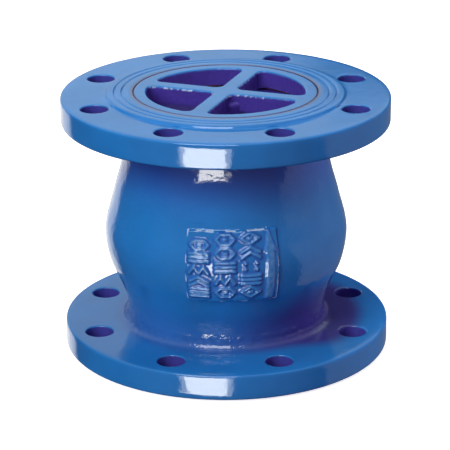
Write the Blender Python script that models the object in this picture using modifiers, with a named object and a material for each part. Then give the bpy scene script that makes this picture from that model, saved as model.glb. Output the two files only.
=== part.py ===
"""Flanged silent check valve, DN 100 PN 16: a spring-closed disc in a bulb-shaped casting.

Frame: millimetre sizes below, metres in the scene. The origin is the centre of the inlet's raised
face and +Z is the way the water flows, so the outlet flange is on top. The disc is modelled closed.
Pieces that touch are drawn GAP apart.
"""
import math

import bmesh
import bpy
from mathutils import Matrix, Vector

MM = 0.001
GAP = 0.3

# Flanges: eight bolts on a 180 mm circle, none of them on the centre lines.
FACE_TO_FACE = 174.0
FLANGE_R = 107.5
RIM_THICK = 17.0
RAISED_R = 77.5
RAISED_H = 2.0
RAISED_DRAFT = 0.4
BOLT_CIRCLE_R = 90.0
BOLT_HOLE_R = 9.0
BOLT_COUNT = 8
RIM_CHAMFER = 1.2
GROOVE_RADII = (67.5, 72.4)
GROOVE_HALF = 0.7
GROOVE_DEPTH = 0.8

# Barrel: outer radius at a few heights, with a smooth line between them.
BARREL = ((155.0, 61.6), (130.0, 67.9), (105.0, 74.5), (80.0, 79.9), (62.0, 77.2), (48.0, 71.4),
          (34.0, 66.4), (19.0, 65.2))
OUTER_STEP = 12.0
INNER_STEP = 18.0
WALL = 8.0
FOOT_FILLET = 3.0

# Body bores, from the outlet down.
SOCKET_R = 60.3
SOCKET_FLOOR = 160.0
THROAT_R = 54.5
THROAT_Z = 150.0
THROAT_CHAMFER = 1.5
CHAMBER_FLOOR = 62.0
SEAT_POCKET_R = 54.0
SEAT_POCKET_TOP = 52.0
SEAT_POCKET_FLOOR = 28.0
INLET_R = 50.0
INLET_CHAMFER = 1.0

# Guide frame: the ring with four ribs in the outlet, and the blind tube that guides the stem.
FRAME_R = 59.7
FRAME_BOTTOM = 162.0
FRAME_CHAMFER = 0.6
RIB_ANGLE = -19.3
RIB_WIDTH = 11.0
WINDOW_R = 51.75
WINDOW_INNER_FILLET = 5.0
WINDOW_OUTER_FILLET = 4.5
TUBE_R = 12.5
TUBE_TOP = 168.0
TUBE_BORE_TOP = 166.5
TUBE_BORE_R = 7.6
COLLAR_R = 21.0
COLLAR_Z = 128.0
COLLAR_THICK = 4.0
COLLAR_CONE = 5.0
VENT_R = 2.0
VENT_Z = 145.0
GASKET_IN_R = 55.2

# Stem, bushes and disc.
STEM_R = 7.0
STEM_BOTTOM = 8.0
STEM_TOP = 140.0
STEM_CHAMFER = 1.0
STEM_COLLAR_R = 12.0
STEM_COLLAR_H = 4.7
BUSH_IN_R = 7.3
BUSH_OUT_R = 8.9
BUSH_SOCKET_R = BUSH_OUT_R + GAP
BUSH_INSET = 0.5
UPPER_BUSH_LENGTH = 28.0
LIFT = 24.0
DISC_R = 52.5
DISC_BEVEL_IN = 3.0
DISC_BEVEL_DOWN = 0.8
DISC_RIM_Z = 60.2
DISC_DOME_R = 23.0
DISC_DOME_Z = 66.5
DISC_TOP = 68.0
SPIGOT_R = 40.0
SEAL_THICK = 4.0
RETAINER_R = 45.5
RETAINER_THICK = 3.0
RETAINER_CHAMFER = 1.0
SCREW_COUNT = 6
SCREW_CIRCLE_R = 30.0
SCREW_R = 2.3
SCREW_HOLE_R = 2.7
SCREW_HEAD_R = 4.4
SCREW_HEAD_H = 3.0
SCREW_CHAMFER = 0.5
SCREW_HOLE_TOP = 61.0
SCREW_TIP = 60.0
SCREW_KEY_R = 2.3
SCREW_KEY_DEPTH = 1.8
WASHER_R = 12.2
WASHER_THICK = 1.6
WASHER_SLIT = 1.6
WASHER_SLIT_ANGLE = 25.0
WASHER_SLIT_START = 4.3
NUT_ACROSS_FLATS = 22.0
NUT_HEIGHT = 9.5

# Seat ring: a raised lip over a ring that screws into the body, with the lower guide's spider.
SEAT_RING_R = 53.6
SEAT_RING_TOP = 49.0
SEAT_BORE_R = 47.0
SEAT_THROAT_Z = 36.0
SEAT_MOUTH_R = 49.4
LIP_IN_R = 47.2
LIP_OUT_R = 49.8
LIP_TOP = 52.0
SPIDER_HUB_R = 12.5
SPIDER_HUB_BOTTOM = 20.0
SPIDER_HUB_TOP = 41.0
SPIDER_HUB_CHAMFER = 1.0
SPIDER_RIB_WIDTH = 7.0
SPIDER_RIB_BOTTOM = 29.5
SPIDER_RIB_TOP = 39.5
SPIDER_RIB_START = 10.5
SPIDER_RIB_END = 50.1
O_RING_STEP_R = 50.6
O_RING_STEP_Z = 31.0
O_RING_R = 52.05
O_RING_SECTION_R = 1.15
O_RING_CLEARANCE = 0.1

# Spring: closed end coils against the frame's collar and the spring seat.
SPRING_MEAN_R = 18.0
SPRING_WIRE_R = 1.25
SPRING_TURNS = 9
SPRING_END_TURNS = 1.0
SPRING_POINTS_PER_TURN = 11
SPRING_SEAT_IN_R = 13.4
SPRING_SEAT_OUT_R = 20.6
SPRING_SEAT_THICK = 1.5

BODY_STEPS = 48
RING_STEPS = 40
BUSH_STEPS = 28
HOLE_STEPS = 16
SMALL_STEPS = 12
DRILL_TURN = 7.0
CUT_MARGIN = 2.0
KEY_MARGIN = 1.0

# Heights that follow from the sizes above.
UPPER_FLANGE_Z = FACE_TO_FACE - RAISED_H - RIM_THICK
LOWER_FLANGE_Z = RAISED_H + RIM_THICK
SEAL_Z = LIP_TOP + GAP
DISC_FACE_Z = SEAL_Z + SEAL_THICK + GAP
SPIGOT_Z = SEAL_Z
RETAINER_Z = SPIGOT_Z - GAP - RETAINER_THICK
STEM_COLLAR_TOP = RETAINER_Z - GAP
WASHER_Z = DISC_TOP + GAP
NUT_Z = WASHER_Z + WASHER_THICK + GAP
TUBE_BOTTOM = NUT_Z + NUT_HEIGHT + LIFT + GAP
UPPER_BUSH_Z = TUBE_BOTTOM + GAP
SPRING_BOTTOM = WASHER_Z + SPRING_SEAT_THICK + GAP
SPRING_TOP = COLLAR_Z - GAP

BLUE = (0.018, 0.115, 0.39)
DEEP_BLUE = (0.016, 0.100, 0.35)
STEEL = (0.55, 0.55, 0.54)
DARK_STEEL = (0.42, 0.42, 0.42)
BRONZE = (0.50, 0.31, 0.12)
RUBBER = (0.02, 0.02, 0.022)
FIBRE = (0.16, 0.05, 0.03)


def clear_scene():
    for item in list(bpy.context.scene.objects):
        bpy.data.objects.remove(item, do_unlink=True)


def new_collection(name):
    collection = bpy.data.collections.new(name)
    bpy.context.scene.collection.children.link(collection)
    return collection


def make_material(name, colour, metallic, roughness):
    material = bpy.data.materials.new(name)
    material.use_nodes = True
    shader = material.node_tree.nodes["Principled BSDF"]
    shader.inputs["Base Color"].default_value = (*colour, 1.0)
    shader.inputs["Metallic"].default_value = metallic
    shader.inputs["Roughness"].default_value = roughness
    material.diffuse_color = (*colour, 1.0)
    return material


def add_object(name, mesh, collection, material=None):
    item = bpy.data.objects.new(name, mesh)
    collection.objects.link(item)
    if material:
        mesh.materials.clear()
        mesh.materials.append(material)
    return item


def shade(item, angle=35.0):
    item.data.shade_smooth()
    item.data.set_sharp_from_angle(angle=math.radians(angle))


def profile_mesh(name, points, closed):
    """A line of (radius, height) points in the XZ plane, in millimetres."""
    mesh = bpy.data.meshes.new(name)
    vertices = [(r * MM, 0.0, z * MM) for r, z in points]
    edges = [(i, i + 1) for i in range(len(points) - 1)]
    if closed:
        edges.append((len(points) - 1, 0))
    mesh.from_pydata(vertices, edges, [])
    return mesh


def turned(name, points, collection, material=None, closed=True, steps=RING_STEPS):
    """Turn a profile about Z. It runs down the outer side first, then up the inner side."""
    item = add_object(name, profile_mesh(name, points, closed), collection)
    screw = item.modifiers.new("turn", "SCREW")
    screw.axis = "Z"
    screw.angle = math.tau
    screw.steps = steps
    screw.render_steps = steps
    screw.use_merge_vertices = True
    screw.merge_threshold = 0.00001
    solid = bpy.data.meshes.new_from_object(
        item.evaluated_get(bpy.context.evaluated_depsgraph_get()))
    solid.name = name
    item.modifiers.clear()
    item.data = solid
    if material:
        solid.materials.append(material)
    shade(item)
    return item


def ring_points(inner_r, outer_r, bottom, top):
    return [(outer_r, top), (outer_r, bottom), (inner_r, bottom), (inner_r, top)]


def rod_points(radius, bottom, top, chamfer):
    return [(0.0, top), (radius - chamfer, top), (radius, top - chamfer),
            (radius, bottom + chamfer), (radius - chamfer, bottom), (0.0, bottom)]


def cylinder(name, radius, bottom, top, collection, place=(0.0, 0.0), steps=SMALL_STEPS, turn=0.0):
    """A capped cylinder or prism along Z, standing over a point of the XY plane."""
    mesh = bpy.data.meshes.new(name)
    shape = bmesh.new()
    bmesh.ops.create_cone(shape, cap_ends=True, segments=steps, radius1=radius * MM,
                          radius2=radius * MM, depth=(top - bottom) * MM)
    shape.to_mesh(mesh)
    shape.free()
    item = add_object(name, mesh, collection)
    item.location = (place[0] * MM, place[1] * MM, (top + bottom) / 2.0 * MM)
    item.rotation_euler = (0.0, 0.0, math.radians(turn))
    return item


def box(name, size, centre, collection, turn=0.0):
    mesh = bpy.data.meshes.new(name)
    shape = bmesh.new()
    bmesh.ops.create_cube(shape, size=1.0)
    bmesh.ops.scale(shape, vec=[side * MM for side in size], verts=shape.verts)
    shape.to_mesh(mesh)
    shape.free()
    item = add_object(name, mesh, collection)
    item.matrix_world = (Matrix.Rotation(math.radians(turn), 4, "Z")
                         @ Matrix.Translation(Vector(centre) * MM))
    return item


def prism(name, outline, bottom, top, collection, turn=0.0):
    """A flat outline given thickness: a filled 2D curve, made a mesh so that it can cut."""
    curve = bpy.data.curves.new(name, "CURVE")
    curve.dimensions = "2D"
    curve.fill_mode = "BOTH"
    curve.extrude = (top - bottom) / 2.0 * MM
    line = curve.splines.new("POLY")
    line.points.add(len(outline) - 1)
    for point, (x, y) in zip(line.points, outline):
        point.co = (x * MM, y * MM, 0.0, 1.0)
    line.use_cyclic_u = True
    flat = bpy.data.objects.new(name + "_outline", curve)
    collection.objects.link(flat)
    flat.location.z = (top + bottom) / 2.0 * MM
    flat.rotation_euler.z = math.radians(turn)
    return curve_to_mesh(flat, name, collection)


def curve_to_mesh(source, name, collection, material=None):
    bpy.context.view_layer.update()
    view = source.evaluated_get(bpy.context.evaluated_depsgraph_get())
    mesh = bpy.data.meshes.new_from_object(view)
    shape = bmesh.new()
    shape.from_mesh(mesh)
    bmesh.ops.remove_doubles(shape, verts=shape.verts, dist=0.000001)
    shape.to_mesh(mesh)
    shape.free()
    item = add_object(name, mesh, collection, material)
    item.matrix_world = source.matrix_world.copy()
    bpy.data.objects.remove(source, do_unlink=True)
    return item


def boolean(item, tool, operation="DIFFERENCE"):
    change = item.modifiers.new(operation.lower() + "_" + tool.name, "BOOLEAN")
    change.operation = operation
    change.solver = "EXACT"
    change.object = tool
    tool.display_type = "WIRE"
    tool.hide_render = True


def arc(centre, radius, start, end, count):
    """Points of an arc, its ends included; angles in degrees."""
    points = []
    for i in range(count + 1):
        angle = math.radians(start + (end - start) * i / count)
        points.append((centre[0] + radius * math.cos(angle), centre[1] + radius * math.sin(angle)))
    return points


def on_circle(radius, angle):
    return (radius * math.cos(math.radians(angle)), radius * math.sin(math.radians(angle)))


def barrel_radius(z):
    """Outer radius of the barrel: a cubic through the stations, level at its widest place."""
    for (z1, r1), (z0, r0) in zip(BARREL, BARREL[1:]):
        if z >= z0:
            break
    t = (z - z0) / (z1 - z0)
    m0 = barrel_slope(z0) * (z1 - z0)
    m1 = barrel_slope(z1) * (z1 - z0)
    return ((2 * t**3 - 3 * t**2 + 1) * r0 + (t**3 - 2 * t**2 + t) * m0
            + (3 * t**2 - 2 * t**3) * r1 + (t**3 - t**2) * m1)


def barrel_slope(z):
    heights = [station[0] for station in BARREL]
    i = heights.index(z)
    before = BARREL[max(i - 1, 0)]
    after = BARREL[min(i + 1, len(BARREL) - 1)]
    if BARREL[i][1] > max(before[1], after[1]):
        return 0.0
    return (after[1] - before[1]) / (after[0] - before[0])


def heights_between(top, bottom, step):
    count = max(1, round((top - bottom) / step))
    return [top + (bottom - top) * i / count for i in range(count + 1)]


def body_profile():
    points = [(SOCKET_R, FACE_TO_FACE)]
    for radius in GROOVE_RADII:
        points += [(radius - GROOVE_HALF, FACE_TO_FACE), (radius, FACE_TO_FACE - GROOVE_DEPTH),
                   (radius + GROOVE_HALF, FACE_TO_FACE)]
    rim_top = FACE_TO_FACE - RAISED_H
    points += [(RAISED_R, FACE_TO_FACE), (RAISED_R + RAISED_DRAFT, rim_top),
               (FLANGE_R - RIM_CHAMFER, rim_top), (FLANGE_R, rim_top - RIM_CHAMFER),
               (FLANGE_R, UPPER_FLANGE_Z + RIM_CHAMFER), (FLANGE_R - RIM_CHAMFER, UPPER_FLANGE_Z)]
    top = UPPER_FLANGE_Z - FOOT_FILLET
    points += [(barrel_radius(top) + FOOT_FILLET, UPPER_FLANGE_Z)]
    bottom = LOWER_FLANGE_Z + FOOT_FILLET
    points += [(barrel_radius(z), z) for z in heights_between(top, bottom, OUTER_STEP)]
    points += [(barrel_radius(bottom) + FOOT_FILLET, LOWER_FLANGE_Z),
               (FLANGE_R - RIM_CHAMFER, LOWER_FLANGE_Z), (FLANGE_R, LOWER_FLANGE_Z - RIM_CHAMFER),
               (FLANGE_R, RAISED_H + RIM_CHAMFER), (FLANGE_R - RIM_CHAMFER, RAISED_H),
               (RAISED_R + RAISED_DRAFT, RAISED_H), (RAISED_R, 0.0)]
    for radius in reversed(GROOVE_RADII):
        points += [(radius + GROOVE_HALF, 0.0), (radius, GROOVE_DEPTH), (radius - GROOVE_HALF, 0.0)]
    points += [(INLET_R + INLET_CHAMFER, 0.0), (INLET_R, INLET_CHAMFER),
               (INLET_R, SEAT_POCKET_FLOOR), (SEAT_POCKET_R, SEAT_POCKET_FLOOR),
               (SEAT_POCKET_R, SEAT_POCKET_TOP)]
    chamber = heights_between(THROAT_Z, CHAMBER_FLOOR, INNER_STEP)
    points += [(barrel_radius(z) - WALL, z) for z in reversed(chamber)]
    points += [(THROAT_R, THROAT_Z + THROAT_CHAMFER), (THROAT_R, SOCKET_FLOOR),
               (SOCKET_R, SOCKET_FLOOR)]
    return points


def build_valve_body(parts, cutters, blue):
    body = turned("valve_body", body_profile(), parts, blue, steps=BODY_STEPS)
    for i in range(BOLT_COUNT):
        angle = (i + 0.5) * 360.0 / BOLT_COUNT
        place = on_circle(BOLT_CIRCLE_R, angle)
        for name, bottom, top in (("inlet", 0.0, LOWER_FLANGE_Z),
                                  ("outlet", UPPER_FLANGE_Z, FACE_TO_FACE)):
            drill = cylinder(f"{name}_bolt_hole_{i + 1}", BOLT_HOLE_R, bottom - CUT_MARGIN,
                             top + CUT_MARGIN, cutters, place, HOLE_STEPS, DRILL_TURN)
            boolean(body, drill)


def window_outline():
    """A quarter window between two ribs along +X and +Y, with its three corners rounded."""
    edge = RIB_WIDTH / 2.0
    inner = edge + WINDOW_INNER_FILLET
    side = edge + WINDOW_OUTER_FILLET
    reach = math.sqrt((WINDOW_R - WINDOW_OUTER_FILLET)**2 - side**2)
    swing = math.degrees(math.atan2(side, reach))
    points = arc((inner, inner), WINDOW_INNER_FILLET, 180.0, 270.0, 4)
    points += arc((reach, side), WINDOW_OUTER_FILLET, -90.0, swing, 4)
    points += arc((0.0, 0.0), WINDOW_R, swing, 90.0 - swing, 12)[1:-1]
    points += arc((side, reach), WINDOW_OUTER_FILLET, 90.0 - swing, 180.0, 4)
    return points


def build_guide_frame(parts, cutters, blue):
    plate = rod_points(FRAME_R, FRAME_BOTTOM, FACE_TO_FACE, FRAME_CHAMFER)
    frame = turned("guide_frame", plate, parts, blue, closed=False, steps=BODY_STEPS)
    for i in range(4):
        window = prism(f"frame_window_{i + 1}", window_outline(), FRAME_BOTTOM - CUT_MARGIN,
                       FACE_TO_FACE + CUT_MARGIN, cutters, RIB_ANGLE + 90.0 * i)
        boolean(frame, window)
    tube = turned("guide_tube", [
        (0.0, TUBE_TOP), (TUBE_R, TUBE_TOP), (TUBE_R, COLLAR_Z + COLLAR_THICK + COLLAR_CONE),
        (COLLAR_R, COLLAR_Z + COLLAR_THICK), (COLLAR_R, COLLAR_Z), (TUBE_R, COLLAR_Z),
        (TUBE_R, TUBE_BOTTOM), (0.0, TUBE_BOTTOM)], cutters, closed=False)
    boolean(frame, tube, "UNION")
    bush_top = UPPER_BUSH_Z + UPPER_BUSH_LENGTH + GAP
    bore = turned("guide_bore", [
        (0.0, TUBE_BORE_TOP), (TUBE_BORE_R, TUBE_BORE_TOP), (TUBE_BORE_R, bush_top),
        (BUSH_SOCKET_R, bush_top), (BUSH_SOCKET_R, TUBE_BOTTOM - CUT_MARGIN),
        (0.0, TUBE_BOTTOM - CUT_MARGIN)], cutters, closed=False)
    boolean(frame, bore)
    vent = cylinder("guide_vent", VENT_R, -TUBE_R - CUT_MARGIN, TUBE_R + CUT_MARGIN, cutters)
    vent.rotation_euler = (math.radians(90.0), 0.0, 0.0)
    vent.location = (0.0, 0.0, VENT_Z * MM)
    boolean(frame, vent)


def build_seat_ring(parts, cutters, bronze):
    ring = turned("seat_ring", [
        (LIP_OUT_R, LIP_TOP), (LIP_OUT_R, SEAT_RING_TOP), (SEAT_RING_R, SEAT_RING_TOP),
        (SEAT_RING_R, O_RING_STEP_Z), (O_RING_STEP_R, O_RING_STEP_Z),
        (O_RING_STEP_R, SEAT_POCKET_FLOOR + GAP), (SEAT_MOUTH_R, SEAT_POCKET_FLOOR + GAP),
        (SEAT_BORE_R, SEAT_THROAT_Z), (SEAT_BORE_R, SEAT_RING_TOP), (LIP_IN_R, LIP_TOP)],
        parts, bronze)
    rod = rod_points(SPIDER_HUB_R, SPIDER_HUB_BOTTOM, SPIDER_HUB_TOP, SPIDER_HUB_CHAMFER)
    hub = turned("spider_hub", rod, cutters, closed=False, steps=BUSH_STEPS)
    length = SPIDER_RIB_END - SPIDER_RIB_START
    height = SPIDER_RIB_TOP - SPIDER_RIB_BOTTOM
    for i in range(4):
        rib = box(f"spider_rib_{i + 1}", (length, SPIDER_RIB_WIDTH, height),
                  (SPIDER_RIB_START + length / 2.0, 0.0, SPIDER_RIB_BOTTOM + height / 2.0),
                  cutters, 90.0 * i)
        boolean(ring, rib, "UNION")
    boolean(ring, hub, "UNION")
    bore = cylinder("spider_bore", BUSH_SOCKET_R, SPIDER_HUB_BOTTOM - CUT_MARGIN,
                    SPIDER_HUB_TOP + CUT_MARGIN, cutters, steps=BUSH_STEPS)
    boolean(ring, bore)


def build_seals(parts, rubber, fibre):
    height = SEAT_POCKET_FLOOR + GAP + O_RING_SECTION_R + O_RING_CLEARANCE
    section = arc((O_RING_R, height), O_RING_SECTION_R, 90.0, -210.0, 5)
    turned("seat_o_ring", section, parts, rubber)
    turned("frame_gasket", ring_points(GASKET_IN_R, FRAME_R, SOCKET_FLOOR + GAP,
                                       FRAME_BOTTOM - GAP), parts, fibre)
    turned("disc_seal", ring_points(SPIGOT_R + GAP, DISC_R - GAP, SEAL_Z, SEAL_Z + SEAL_THICK),
           parts, rubber)


def build_bushes(parts, bronze):
    lower = ring_points(BUSH_IN_R, BUSH_OUT_R, SPIDER_HUB_BOTTOM + BUSH_INSET,
                        SPIDER_HUB_TOP - BUSH_INSET)
    turned("lower_bush", lower, parts, bronze, steps=BUSH_STEPS)
    upper = ring_points(BUSH_IN_R, BUSH_OUT_R, UPPER_BUSH_Z, UPPER_BUSH_Z + UPPER_BUSH_LENGTH)
    turned("upper_bush", upper, parts, bronze, steps=BUSH_STEPS)


def build_disc(parts, cutters, iron, steel):
    disc = turned("disc", [
        (BUSH_IN_R, DISC_TOP), (COLLAR_R, DISC_TOP), (DISC_DOME_R, DISC_DOME_Z),
        (DISC_R - DISC_BEVEL_IN, DISC_RIM_Z), (DISC_R, DISC_RIM_Z - DISC_BEVEL_DOWN),
        (DISC_R, DISC_FACE_Z), (SPIGOT_R, DISC_FACE_Z), (SPIGOT_R, SPIGOT_Z),
        (BUSH_IN_R, SPIGOT_Z)], parts, iron)
    plate = turned("seal_retainer", [
        (RETAINER_R, SPIGOT_Z - GAP), (RETAINER_R, RETAINER_Z + RETAINER_CHAMFER),
        (RETAINER_R - RETAINER_CHAMFER, RETAINER_Z), (BUSH_IN_R, RETAINER_Z),
        (BUSH_IN_R, SPIGOT_Z - GAP)], parts, steel)
    for i in range(SCREW_COUNT):
        place = on_circle(SCREW_CIRCLE_R, 360.0 / SCREW_COUNT * (i + 0.5))
        drill = cylinder(f"retainer_hole_{i + 1}", SCREW_HOLE_R, RETAINER_Z - CUT_MARGIN,
                         SCREW_HOLE_TOP, cutters, place, turn=DRILL_TURN)
        boolean(disc, drill)
        boolean(plate, drill)


def screw_mesh(cutters, steel):
    """A socket screw, head down, with its tip towards +Z and the head's top face at height 0."""
    head_z = -SCREW_HEAD_H
    length = SCREW_TIP - (RETAINER_Z - GAP)
    screw = turned("screw_pattern", [
        (0.0, length), (SCREW_R - SCREW_CHAMFER, length), (SCREW_R, length - SCREW_CHAMFER),
        (SCREW_R, 0.0), (SCREW_HEAD_R, 0.0), (SCREW_HEAD_R, head_z + SCREW_CHAMFER),
        (SCREW_HEAD_R - SCREW_CHAMFER, head_z), (0.0, head_z)],
        cutters, closed=False, steps=SMALL_STEPS)
    key = cylinder("screw_key", SCREW_KEY_R, head_z - KEY_MARGIN, head_z + SCREW_KEY_DEPTH, cutters,
                   steps=6)
    boolean(screw, key)
    bpy.context.view_layer.update()
    view = screw.evaluated_get(bpy.context.evaluated_depsgraph_get())
    mesh = bpy.data.meshes.new_from_object(view)
    mesh.materials.clear()
    mesh.materials.append(steel)
    bpy.data.objects.remove(screw, do_unlink=True)
    bpy.data.objects.remove(key, do_unlink=True)
    return mesh


def build_screws(parts, cutters, steel):
    mesh = screw_mesh(cutters, steel)
    for i in range(SCREW_COUNT):
        x, y = on_circle(SCREW_CIRCLE_R, 360.0 / SCREW_COUNT * (i + 0.5))
        screw = bpy.data.objects.new(f"retainer_screw_{i + 1}", mesh)
        parts.objects.link(screw)
        screw.location = (x * MM, y * MM, (RETAINER_Z - GAP) * MM)


def build_stem(parts, cutters, steel, dark_steel):
    collar_bottom = STEM_COLLAR_TOP - STEM_COLLAR_H
    turned("stem", [
        (0.0, STEM_TOP), (STEM_R - STEM_CHAMFER, STEM_TOP), (STEM_R, STEM_TOP - STEM_CHAMFER),
        (STEM_R, STEM_COLLAR_TOP), (STEM_COLLAR_R, STEM_COLLAR_TOP), (STEM_COLLAR_R, collar_bottom),
        (STEM_R, collar_bottom), (STEM_R, STEM_BOTTOM + STEM_CHAMFER),
        (STEM_R - STEM_CHAMFER, STEM_BOTTOM), (0.0, STEM_BOTTOM)],
        parts, steel, closed=False, steps=BUSH_STEPS)
    ring = ring_points(BUSH_IN_R, WASHER_R, WASHER_Z, WASHER_Z + WASHER_THICK)
    washer = turned("lock_washer", ring, parts, dark_steel, steps=BUSH_STEPS)
    slit = box("washer_slit", (WASHER_R, WASHER_SLIT, WASHER_THICK + CUT_MARGIN),
               (WASHER_SLIT_START + WASHER_R / 2.0, 0.0, WASHER_Z + WASHER_THICK / 2.0), cutters,
               WASHER_SLIT_ANGLE)
    boolean(washer, slit)
    nut = cylinder("stem_nut", NUT_ACROSS_FLATS / 2.0 / math.cos(math.pi / 6.0), NUT_Z,
                   NUT_Z + NUT_HEIGHT, parts, steps=6)
    nut.data.materials.append(dark_steel)
    bore = cylinder("nut_bore", BUSH_IN_R, NUT_Z - CUT_MARGIN, NUT_Z + NUT_HEIGHT + CUT_MARGIN,
                    cutters, steps=BUSH_STEPS)
    boolean(nut, bore)


def spring_height(turns):
    """Height of the wire's centre: close coils at both ends, an even pitch between them."""
    close = (2.0 * SPRING_WIRE_R + GAP) * SPRING_END_TURNS
    length = SPRING_TOP - SPRING_BOTTOM - 2.0 * SPRING_WIRE_R
    free_turns = SPRING_TURNS - 2.0 * SPRING_END_TURNS
    pitch = (length - 2.0 * close) / free_turns
    if turns < SPRING_END_TURNS:
        return close * turns / SPRING_END_TURNS
    if turns > SPRING_TURNS - SPRING_END_TURNS:
        return length - close * (SPRING_TURNS - turns) / SPRING_END_TURNS
    return close + pitch * (turns - SPRING_END_TURNS)


def build_spring(parts, steel):
    curve = bpy.data.curves.new("spring", "CURVE")
    curve.dimensions = "3D"
    curve.bevel_depth = SPRING_WIRE_R * MM
    curve.bevel_resolution = 2
    curve.use_fill_caps = True
    wire = curve.splines.new("POLY")
    count = SPRING_TURNS * SPRING_POINTS_PER_TURN
    wire.points.add(count)
    for i, point in enumerate(wire.points):
        turns = i / SPRING_POINTS_PER_TURN
        x, y = on_circle(SPRING_MEAN_R, 360.0 * turns)
        z = SPRING_BOTTOM + SPRING_WIRE_R + spring_height(turns)
        point.co = (x * MM, y * MM, z * MM, 1.0)
    coil = bpy.data.objects.new("spring_line", curve)
    parts.objects.link(coil)
    spring = curve_to_mesh(coil, "spring", parts, steel)
    shade(spring, 60.0)
    turned("spring_seat", ring_points(SPRING_SEAT_IN_R, SPRING_SEAT_OUT_R, WASHER_Z,
                                      WASHER_Z + SPRING_SEAT_THICK), parts, steel)


def main():
    clear_scene()
    parts = new_collection("silent_check_valve")
    cutters = new_collection("cutters")
    blue = make_material("blue_coating", BLUE, 0.0, 0.22)
    deep_blue = make_material("frame_coating", DEEP_BLUE, 0.0, 0.28)
    disc_iron = make_material("disc_coating", DEEP_BLUE, 0.0, 0.35)
    bronze = make_material("bronze", BRONZE, 1.0, 0.35)
    steel = make_material("stainless_steel", STEEL, 1.0, 0.30)
    dark_steel = make_material("fastener_steel", DARK_STEEL, 1.0, 0.38)
    spring_steel = make_material("spring_steel", STEEL, 1.0, 0.25)
    rubber = make_material("rubber", RUBBER, 0.0, 0.70)
    fibre = make_material("fibre_gasket", FIBRE, 0.0, 0.80)
    build_valve_body(parts, cutters, blue)
    build_guide_frame(parts, cutters, deep_blue)
    build_seat_ring(parts, cutters, bronze)
    build_seals(parts, rubber, fibre)
    build_bushes(parts, bronze)
    build_disc(parts, cutters, disc_iron, steel)
    build_screws(parts, cutters, dark_steel)
    build_stem(parts, cutters, steel, dark_steel)
    build_spring(parts, spring_steel)
    for item in cutters.objects:
        item.hide_render = True
        item.display_type = "WIRE"


main()
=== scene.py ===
import math
from contextlib import contextmanager

import bmesh
import bpy
import numpy as np
from mathutils import Matrix, Vector, noise


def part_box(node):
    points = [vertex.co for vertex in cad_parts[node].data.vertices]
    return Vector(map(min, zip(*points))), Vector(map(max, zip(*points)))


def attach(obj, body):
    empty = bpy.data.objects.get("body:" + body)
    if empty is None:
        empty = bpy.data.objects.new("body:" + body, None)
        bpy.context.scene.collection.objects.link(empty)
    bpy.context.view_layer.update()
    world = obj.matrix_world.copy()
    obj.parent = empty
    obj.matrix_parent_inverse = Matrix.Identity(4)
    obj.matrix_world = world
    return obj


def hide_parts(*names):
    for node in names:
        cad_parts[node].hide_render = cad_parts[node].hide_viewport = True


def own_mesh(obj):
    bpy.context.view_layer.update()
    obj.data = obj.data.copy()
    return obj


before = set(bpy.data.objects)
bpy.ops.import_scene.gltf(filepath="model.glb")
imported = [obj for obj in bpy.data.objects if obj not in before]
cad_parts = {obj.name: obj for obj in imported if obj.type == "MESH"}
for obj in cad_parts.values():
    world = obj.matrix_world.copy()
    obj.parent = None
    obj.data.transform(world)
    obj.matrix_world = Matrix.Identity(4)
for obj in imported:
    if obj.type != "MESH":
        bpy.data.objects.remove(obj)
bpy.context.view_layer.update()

# Lengths below are millimetres in the CAD frame: Z up along the flow, origin on the inlet's face.
MM = 0.001


def extent(node, axis=2):
    """Where a CAD node starts and ends along an axis, in millimetres."""
    low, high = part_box(node)
    return low[axis] / MM, high[axis] / MM


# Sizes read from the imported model.
FACE_TO_FACE = round(extent("valve_body")[1], 3)
FLANGE_R = round(extent("valve_body", 0)[1], 3)
FRAME_R = round(extent("guide_frame", 0)[1], 3)
TUBE_BOTTOM = extent("guide_frame")[0]
SEAT_BOTTOM, SEAT_TOP = extent("seat_ring")
DISC_BOTTOM, DISC_TOP = extent("disc")
SEAL_TOP = extent("disc_seal")[1]
PLATE_BOTTOM, PLATE_TOP = extent("seal_retainer")
SPRING_BOTTOM, SPRING_TOP = extent("spring")
SPRING_LENGTH = SPRING_TOP - SPRING_BOTTOM

# Sizes of the casting: the CAD's, with a thicker neck and larger fillets on the barrel.
RIM_THICK = 17.0
RAISED_R = 77.5
RAISED_H = 2.0
BOLT_CIRCLE_R = 90.0
BOLT_HOLE_R = 9.0
BOLT_COUNT = 8
GROOVE_RADII = (67.5, 72.4)
GROOVE_HALF = 0.8
GROOVE_DEPTH = 0.85
BARREL = ((143.0, 67.1), (130.0, 67.9), (105.0, 74.5), (80.0, 79.9), (62.0, 77.2), (48.0, 71.4),
          (34.0, 66.4), (19.0, 65.2))
NECK_FILLET = 12.0
FOOT_FILLET = 5.0
WALL = 8.0
SOCKET_R = 60.3
SOCKET_FLOOR = 160.0
THROAT_R = 54.5
THROAT_Z = 150.0
CHAMBER_FLOOR = 62.0
SEAT_POCKET_R = 54.0
SEAT_POCKET_TOP = 52.0
SEAT_POCKET_FLOOR = 28.0
INLET_R = 50.0
UPPER_RIM_Z = FACE_TO_FACE - RAISED_H
UPPER_FLANGE_Z = UPPER_RIM_Z - RIM_THICK
LOWER_FLANGE_Z = RAISED_H + RIM_THICK
FRAME_BOTTOM = 162.0
RIB_ANGLE = -19.3
RIB_WIDTH = 11.0
WINDOW_R = 51.75
TUBE_R = 12.5
TUBE_TOP = 168.0
TUBE_BORE_TOP = 166.5
TUBE_BORE_R = 7.6
COLLAR_R = 21.0
COLLAR_Z = 128.0
COLLAR_THICK = 4.0
BUSH_SOCKET_R = 9.2
BUSH_LENGTH = 28.6
BORE_R = 7.3
BUSH_R = 8.9
CONTACT_GAP = 0.3
SPIGOT_R = 40.0
DISC_R = 52.5
PLATE_R = 45.5
SEAL_BORE_R, SEAL_R = 40.3, 52.2
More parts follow.
